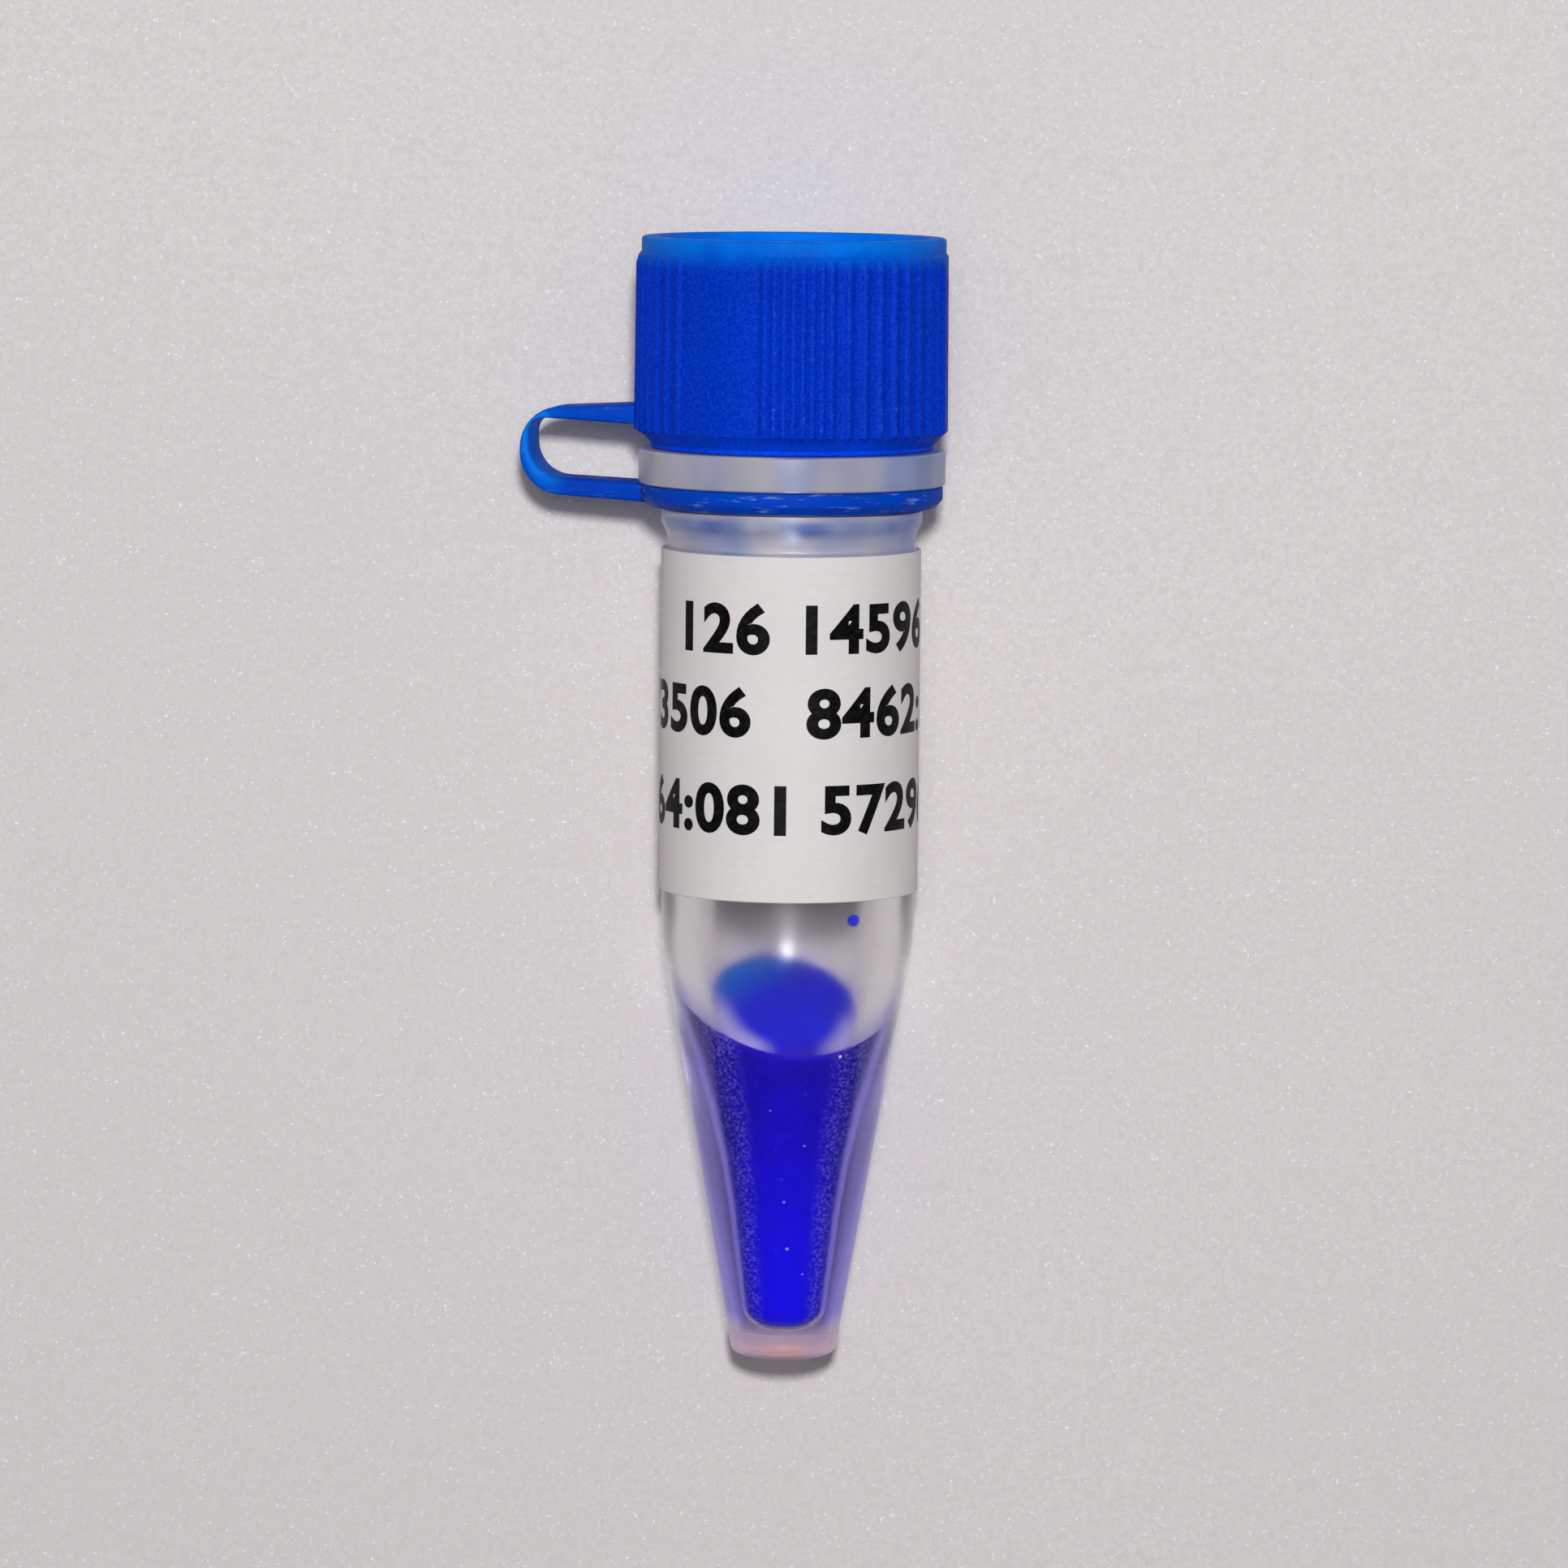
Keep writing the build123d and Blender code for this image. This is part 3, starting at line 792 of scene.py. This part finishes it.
def at_height(tree, z, start, end):
    """0 at the height start and 1 at the height end, both in millimetres."""
    return ranged(tree, z, start * MM, end * MM)


def bumped(tree, shader, height, depth_mm, strength):
    """Relief from a height pattern."""
    made = node(tree, "Bump", {"Height": height, "Strength": strength, "Distance": depth_mm * MM})
    tree.links.new(made.outputs["Normal"], shader.inputs["Normal"])


def attribute(tree, name):
    """A value set on the piece's points."""
    return node(tree, "Attribute", attribute_name=name).outputs["Fac"]


def place_parts(tree):
    """X, Y and Z of the place on the object."""
    return node(tree, "SeparateXYZ", {0: place(tree)}).outputs[:3]


def stretched(tree, factors):
    """The place on the object, scaled by axis."""
    return node(tree, "Mapping", {"Vector": place(tree), "Scale": factors}).outputs["Vector"]


def partly_clear(tree, shader, share, colour=(1, 1, 1)):
    """Make the material clear instead of the shader, by a share that may be a socket."""
    clear = node(tree, "BsdfTransparent", {"Color": (*colour, 1)})
    both = node(tree, "MixShader", {0: share, 1: shader.outputs[0], 2: clear.outputs[0]})
    tree.links.new(both.outputs[0], tree.nodes["Material Output"].inputs["Surface"])


def clear_plastic(name, ior, roughness, milk, lamp_share, sheen=0.0, neck=False, tip=False, sides=0.0):
    """Translucent polypropylene: hazy glass with a share of milk, that lets a share of the lamps through.

    It has painted violet light where the dye stands behind it, and painted blue light from the cap's inside
    on the upper bore. With neck it has pale and blue patches, the blue painted light from the cap, and under
    the collar a painted reflection of the ring's blue. With tip or sides it turns to the tip's lavender at its
    foot, with painted warm light in its middle, and sides is also how milky it is at the left and right of
    the cone, a painted lavender haze there.
    """
    material, shader = new_material(
        name,
        Roughness=roughness,
        IOR=ior,
        Transmission_Weight=1 - milk,
        Specular_IOR_Level=0.18,
        Sheen_Weight=sheen,
        Sheen_Roughness=0.45,
        Sheen_Tint=VIOLET_SHEEN,
    )
    tree = material.node_tree
    x, _, z = place_parts(tree)
    colour = toned(tree, noise(tree, 900, 4, 0.6), 0.3, 0.7, WALL_TONES)
    # painted violet light where the dye stands behind the wall
    colour = mixed(tree, attribute(tree, "painted_dye_light"), colour, WALL_PAINTED_DYE_LIGHT)
    # painted blue light from the cap on the bore's upper part
    colour = mixed(tree, attribute(tree, "painted_cap_light"), colour, WALL_PAINTED_CAP_LIGHT)
    if neck:
        # pale milk and painted blue light from the cap, in patches
        patch = noise(tree, 1.0, 2, 0.5, at=stretched(tree, (260, 260, 60)))
        colour = toned(tree, patch, 0.25, 0.75, NECK_MILK_AND_PAINTED_BLUE_LIGHT)
        # painted reflection of the ring's blue under the collar
        painted_ring_light = ranged(tree, noise(tree, 1.0, 2, 0.5, at=stretched(tree, (380, 380, 160))), 0.25, 0.65)
        under_collar = at_height(tree, z, -0.18, -0.50)
        above_label = at_height(tree, z, -1.15, -0.75)
        colour = mixed(tree, product(tree, under_collar, above_label, painted_ring_light), colour, NECK_PAINTED_RING_REFLECTION)
    if sides:
        # painted lavender haze: milkier at the left and right below the sample, standing in for light from the
        # dye
        clearness = ranged(tree, attribute(tree, "side"), 0.0, 1.0, 1 - milk, 1 - sides)
        tree.links.new(clearness, shader.inputs["Transmission Weight"])
    if tip or sides:
        # painted warm light in the middle of the tip's foot
        middle = ranged(tree, product(tree, x, x), (1.3 * MM) ** 2, (0.3 * MM) ** 2)
        foot = mixed(tree, product(tree, middle, at_height(tree, z, -34.3, -34.9)), *TIP_LAVENDER_AND_PAINTED_WARM_LIGHT)
        colour = mixed(tree, at_height(tree, z, TIP_BLEND_FROM, TIP_FROM), colour, foot)
    tree.links.new(colour, shader.inputs["Base Color"])
    flow = noise(tree, 1.0, 3, 0.6, at=stretched(tree, (2600, 2600, 500)))
    bumped(tree, shader, flow, 0.006, 0.5)
    partly_clear(tree, shader, node(tree, "LightPath").outputs["Is Shadow Ray"], (lamp_share,) * 3)
    return material


def blue_plastic(name, tones, low, high, worn=0.0, ribs=False, painted_arc_light=False):
    """Moulded blue polypropylene with a satin skin, from one tone at the height low to the other at high.

    Worn is the strength of its scuffs. With ribs it has the cap's lip in painted paler light, painted shade
    beside the ribs and painted glints on their crests; for the loop it has painted paler light on its bend and
    its inner face.
    """
    material, shader = new_material(
        name,
        IOR=PLASTIC_IOR,
        Specular_IOR_Level=0.03,
        Sheen_Weight=0.01,
        Sheen_Roughness=0.35,
        Sheen_Tint=BLUE_SHEEN,
    )
    tree = material.node_tree
    x, _, z = place_parts(tree)
    shade = tuple(0.72 * c for c in tones[0])
    light = tuple(min(1, 1.25 * c + 0.01) for c in tones[1])
    # for the cap, the paler top tone is painted light
    colour = mixed(tree, at_height(tree, z, low, high), *tones)
    if painted_arc_light:
        # painted paler light on the loop's bend and its inner face
        colour = mixed(tree, ranged(tree, x, -8.9 * MM, -10.2 * MM), colour, STRAP_PAINTED_ARC_LIGHT)
        colour = mixed(tree, attribute(tree, "thin"), colour, STRAP_PAINTED_THROUGH_LIGHT)
    if ribs:
        # painted paler light on the cap's lip
        colour = mixed(tree, at_height(tree, z, 3.3, 2.7), colour, CAP_PAINTED_LIP_LIGHT)
    patch = ranged(tree, noise(tree, 420, 3, 0.6), 0.35, 0.7)
    colour = mixed(tree, product(tree, patch, 0.35), colour, shade)
    colour = mixed(tree, ranged(tree, noise(tree, 9000, 2, 0.5), 0.3, 0.75, 0.0, 0.16), colour, light)
    if ribs:
        # painted shade beside the ribs
        colour = mixed(tree, product(tree, attribute(tree, "painted_groove_shade"), 0.16), colour, CAP_PAINTED_SHADE)
        # painted glints on the ribs' crests
        painted_glint = ranged(tree, noise(tree, 3400, 2, 0.5), 0.60, 0.72)
        colour = mixed(tree, product(tree, attribute(tree, "crest"), painted_glint, 0.5), colour, CAP_PAINTED_GLINT)
    if worn:
        scratch = ranged(tree, noise(tree, 1.0, 4, 0.7, at=stretched(tree, (700, 700, 5200))), 0.56, 0.70)
        colour = mixed(tree, product(tree, scratch, worn), colour, SCUFF)
    tree.links.new(colour, shader.inputs["Base Color"])
    rough = ranged(tree, noise(tree, 1500, 4, 0.6), 0.3, 0.7, 0.42, 0.60)
    tree.links.new(rough, shader.inputs["Roughness"])
    bumped(tree, shader, noise(tree, 5200, 3, 0.6), 0.010, 0.55)
    return material


def paper(name):
    """Matt coated label paper: faint fibres, a little waviness and a few specks."""
    material, shader = new_material(name, Roughness=0.62, IOR=1.45, Specular_IOR_Level=0.25)
    tree = material.node_tree
    fibre = noise(tree, 1.0, 5, 0.65, at=stretched(tree, (2200, 2200, 5200)))
    colour = toned(tree, fibre, 0.3, 0.7, PAPER_TONES)
    cloud = ranged(tree, noise(tree, 260, 2, 0.5), 0.35, 0.7)
    colour = mixed(tree, product(tree, cloud, 0.4), colour, PAPER_CLOUD)
    cells = {"Vector": stretched(tree, (520, 520, 900)), "Scale": 1.0, "Randomness": 1.0}
    from_cell = node(tree, "TexVoronoi", cells).outputs["Distance"]
    speck = ranged(tree, from_cell, 0.035, 0.075, 0.35, 0.0)
    rare = ranged(tree, noise(tree, 330, 1, 0.5), 0.62, 0.68)
    colour = mixed(tree, product(tree, speck, rare), colour, PAPER_SPECK)
    tree.links.new(colour, shader.inputs["Base Color"])
    tree.links.new(ranged(tree, fibre, 0.25, 0.75, 0.52, 0.72), shader.inputs["Roughness"])
    bumped(tree, shader, fibre, 0.003, 0.3)
    return material


def ink(name):
    """Black transfer print, slightly broken in its tone."""
    material, shader = new_material(name, Roughness=0.5, Specular_IOR_Level=0.1)
    tree = material.node_tree
    colour = toned(tree, noise(tree, 3800, 3, 0.6), 0.42, 0.75, INK_TONES)
    tree.links.new(colour, shader.inputs["Base Color"])
    bumped(tree, shader, noise(tree, 6000, 2, 0.5), 0.004, 0.4)
    return material


def sample_wall(name):
    """The dye against the wall: deep blue, with painted meniscus light just below its edge, a paler speckle of
    beads toward its left and right, partly painted lavender light, and paler specks painted as sparkles.
    """
    material, shader = new_material(name, Roughness=0.25, IOR=WATER_IOR, Specular_IOR_Level=0.0)
    tree = material.node_tree
    _, _, z = place_parts(tree)
    deep = toned(tree, noise(tree, 1500, 4, 0.7), 0.3, 0.7, DYE_TONES)
    deep = mixed(tree, at_height(tree, z, -23.0, -34.0), deep, DYE_FOOT)
    # painted meniscus light just below the sample's edge
    colour = mixed(tree, ranged(tree, attribute(tree, "depth"), 0.0, 0.4), DYE_PAINTED_MENISCUS_LIGHT, deep)
    # paler beads, partly painted lavender light at the left and right
    limb = ranged(tree, attribute(tree, "limb"), 0.50, 0.86)
    beads = ranged(tree, noise(tree, 9000, 3, 0.7), 0.48, 0.62)
    colour = mixed(tree, product(tree, limb, beads), colour, DYE_BEADS_AND_PAINTED_SIDE_LIGHT)
    # painted sparkles
    speck = ranged(tree, noise(tree, 5200, 1, 0.5), 0.70, 0.76, 0.0, 0.5)
    colour = mixed(tree, speck, colour, DYE_PAINTED_SPARKLE)
    tree.links.new(colour, shader.inputs["Base Color"])
    return material


def sample_surface(name):
    """The free surface of the dye: a painted pale reflection at the sides of its front edge, painted teal light
    at its left far edge.
    """
    material, shader = new_material(name, Roughness=0.12, IOR=WATER_IOR, Specular_IOR_Level=0.3)
    tree = material.node_tree
    x, y, _ = place_parts(tree)
    colour = toned(tree, noise(tree, 900, 3, 0.6), 0.3, 0.7, SURFACE_TONES)
    # painted teal light at the surface's far left edge
    far_left = math_node(tree, "ADD", product(tree, x, -0.75), product(tree, y, 0.66))
    colour = mixed(tree, ranged(tree, far_left, 0.9 * MM, 3.2 * MM), colour, SURFACE_PAINTED_TEAL_LIGHT)
    # painted pale reflection along the surface's front edge, bluer in the middle
    off_middle = math_node(tree, "ABSOLUTE", math_node(tree, "SUBTRACT", x, 0.35 * MM))
    edge = mixed(tree, ranged(tree, off_middle, 0.5 * MM, 1.7 * MM), *SURFACE_PAINTED_NEAR_REFLECTION)
    rim = ranged(tree, attribute(tree, "rim"), 0.62, 0.92)
    colour = mixed(tree, product(tree, rim, ranged(tree, y, 0.5 * MM, -1.0 * MM)), colour, edge)
    tree.links.new(colour, shader.inputs["Base Color"])
    bumped(tree, shader, noise(tree, 350, 2, 0.5), 0.02, 0.3)
    return material


def bubble_painted_highlight(name):
    """Bright thin skin of a bubble, its brightness a painted highlight, cloudier in patches."""
    material, shader = new_material(name, Roughness=0.25, Specular_IOR_Level=0.5)
    tree = material.node_tree
    colour = toned(tree, noise(tree, 9000, 2, 0.5), 0.35, 0.65, BUBBLE_PAINTED_HIGHLIGHT_TONES)
    tree.links.new(colour, shader.inputs["Base Color"])
    return material


def rubber(name):
    """Moulded silicone: matt, slightly mottled."""
    material, shader = new_material(name, Roughness=0.55, IOR=1.41, Specular_IOR_Level=0.35)
    tree = material.node_tree
    colour = toned(tree, noise(tree, 1800, 4, 0.6), 0.3, 0.7, SEAL_TONES)
    tree.links.new(colour, shader.inputs["Base Color"])
    bumped(tree, shader, noise(tree, 6500, 3, 0.6), 0.008, 0.5)
    return material


def pearl_paper(name):
    """Pale paper with a fine pearly grain, clear from behind."""
    material, shader = new_material(name, Roughness=0.55, IOR=1.45, Specular_IOR_Level=0.2)
    tree = material.node_tree
    grain = noise(tree, 3800, 4, 0.75)
    colour = toned(tree, grain, 0.30, 0.70, SHEET_TONES)
    cloud = ranged(tree, noise(tree, 24, 2, 0.5), 0.35, 0.65)
    colour = mixed(tree, product(tree, cloud, 0.4), colour, SHEET_CLOUD)
    flake = ranged(tree, noise(tree, 7200, 1, 0.5), 0.64, 0.80)
    colour = mixed(tree, product(tree, flake, 0.85), colour, SHEET_FLAKE)
    tree.links.new(colour, shader.inputs["Base Color"])
    bumped(tree, shader, grain, 0.02, 0.35)
    partly_clear(tree, shader, node(tree, "NewGeometry").outputs["Backfacing"])
    return material


# ---------------------------------------------------------------- the object

tube_plastics = [
    clear_plastic("clear_plastic", PLASTIC_IOR, roughness=0.18, milk=0.008, lamp_share=0.74),
    clear_plastic("clear_plastic_wet", WET_PLASTIC_IOR, roughness=0.20, milk=0.0, lamp_share=0.98),
    clear_plastic("clear_plastic_neck", PLASTIC_IOR, roughness=0.32, milk=0.52, lamp_share=0.72, neck=True),
    # its haze at the left and right is painted lavender light
    clear_plastic(
        "clear_plastic_dye_lit", PLASTIC_IOR, roughness=0.13, milk=0.004, lamp_share=0.74, sheen=0.10, sides=0.42
    ),
    clear_plastic("clear_plastic_tip", PLASTIC_IOR, roughness=0.20, milk=0.30, lamp_share=0.05, tip=True),
]
# its paler top band, from 9.6 to 11.0, is painted light
cap_blue = blue_plastic("cap_plastic", CAP_TONES_AND_PAINTED_TOP_LIGHT, low=9.6, high=11.0, ribs=True)
ring_blue = blue_plastic("ring_plastic", RING_TONES, low=0.0, high=0.9, worn=0.45)
strap_blue = blue_plastic("strap_plastic", STRAP_TONES, low=0.0, high=4.0, worn=0.08, painted_arc_light=True)
label_paper = paper("label_paper")
print_ink = ink("print_ink")
dye_wall = sample_wall("sample_dye")
dye_surface = sample_surface("sample_dye_surface")
seal_rubber = rubber("seal_rubber")

pieces = [  # piece, body, CAD node that it stands for, record's slot, materials
    (build_tube_wall(), "tube", "tube_body", "clear_plastic", tube_plastics),
    (build_sample(), "tube", "liquid_sample", "sample_liquid", [dye_wall, dye_surface]),
    (build_droplet(), "tube", "liquid_droplet", "sample_liquid", [dye_surface]),
    (build_bubbles(), "tube", None, "sample_liquid", [bubble_painted_highlight("bubble_painted_highlight")]),
    (build_label(), "tube", "label", "label_paper", [label_paper]),
    (build_cap(), "cap", "screw_cap", "blue_plastic", [cap_blue]),
    (build_ring(), "ring", "tether_ring", "blue_plastic", [ring_blue]),
]
for index, group in enumerate(PRINT_GROUPS):
    pieces.append((build_print(index, *group), "tube", None, "label_paper", [print_ink]))
for piece, body, stands_for, slot_name, materials in pieces:
    for material in materials:
        piece.data.materials.append(material)
    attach(piece, body)
    if stands_for:
        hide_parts(stands_for)

# the strap goes over from the ring to the cap between the heights of the two
strap = build_strap()
strap.data.materials.append(strap_blue)
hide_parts("tether_strap")
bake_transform(strap)

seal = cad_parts["cap_o_ring"]
seal.data.materials.clear()
seal.data.materials.append(seal_rubber)

# ---------------------------------------------------------------- the sheet, lights and camera

(y_top, z_top), (y_low, z_low) = SHEET_TOUCHES
along = SHEET_HALF_SIZE * Vector((0, y_top - y_low, z_top - z_low)).normalized()
across = SHEET_HALF_SIZE * Vector((1, 0, 0))
middle = Vector((0, (y_top + y_low) / 2, (z_top + z_low) / 2))
corners = [middle - across - along, middle + across - along, middle + across + along, middle - across + along]
sheet_mesh = bpy.data.meshes.new("pearl_sheet")
sheet_mesh.from_pydata([corner * MM for corner in corners], [], [(0, 1, 2, 3)])
sheet_mesh.materials.append(pearl_paper("pearl_sheet"))
sheet = added("pearl_sheet", sheet_mesh)


def direction(elevation, azimuth=0.0):
    """Unit vector from the object to a place so far up, and so far to the right of the front."""
    flat = math.cos(elevation)
    return Vector((flat * math.sin(azimuth), -flat * math.cos(azimuth), math.sin(elevation)))


for name, watts, size, distance, elevation, azimuth in LAMPS:
    light = bpy.data.lights.new(name, "AREA")
    light.shape = "DISK"
    light.energy = watts
    light.size = size * MM
    lamp = added(name, light)
    toward = direction(math.radians(elevation), math.radians(azimuth))
    lamp.location = (Vector(VIEW_AIM) + toward * distance) * MM
    lamp.rotation_euler = toward.to_track_quat("Z", "Y").to_euler()

world = bpy.data.worlds.new("soft_room")
world.use_nodes = True
world.node_tree.nodes["Background"].inputs["Color"].default_value = (*ROOM_COLOUR, 1)
world.node_tree.nodes["Background"].inputs["Strength"].default_value = ROOM_STRENGTH
bpy.context.scene.world = world
bpy.context.scene.view_settings.view_transform = "Standard"

camera_data = bpy.data.cameras.new("camera")
camera_data.lens = LENS
camera_data.sensor_width = SENSOR
camera_data.clip_start = 0.01
camera_data.clip_end = 5
camera = added("camera", camera_data)
back = direction(VIEW_ELEVATION)
right = Vector((1, 0, 0))
up = back.cross(right)
tilted_right = right * math.cos(VIEW_ROLL) + up * math.sin(VIEW_ROLL)
tilted_up = back.cross(tilted_right)
turn = Matrix((tilted_right, tilted_up, back)).transposed().to_4x4()
camera.matrix_world = Matrix.Translation((Vector(VIEW_AIM) + back * VIEW_DISTANCE) * MM) @ turn
bpy.context.scene.camera = camera

bpy.context.view_layer.update()
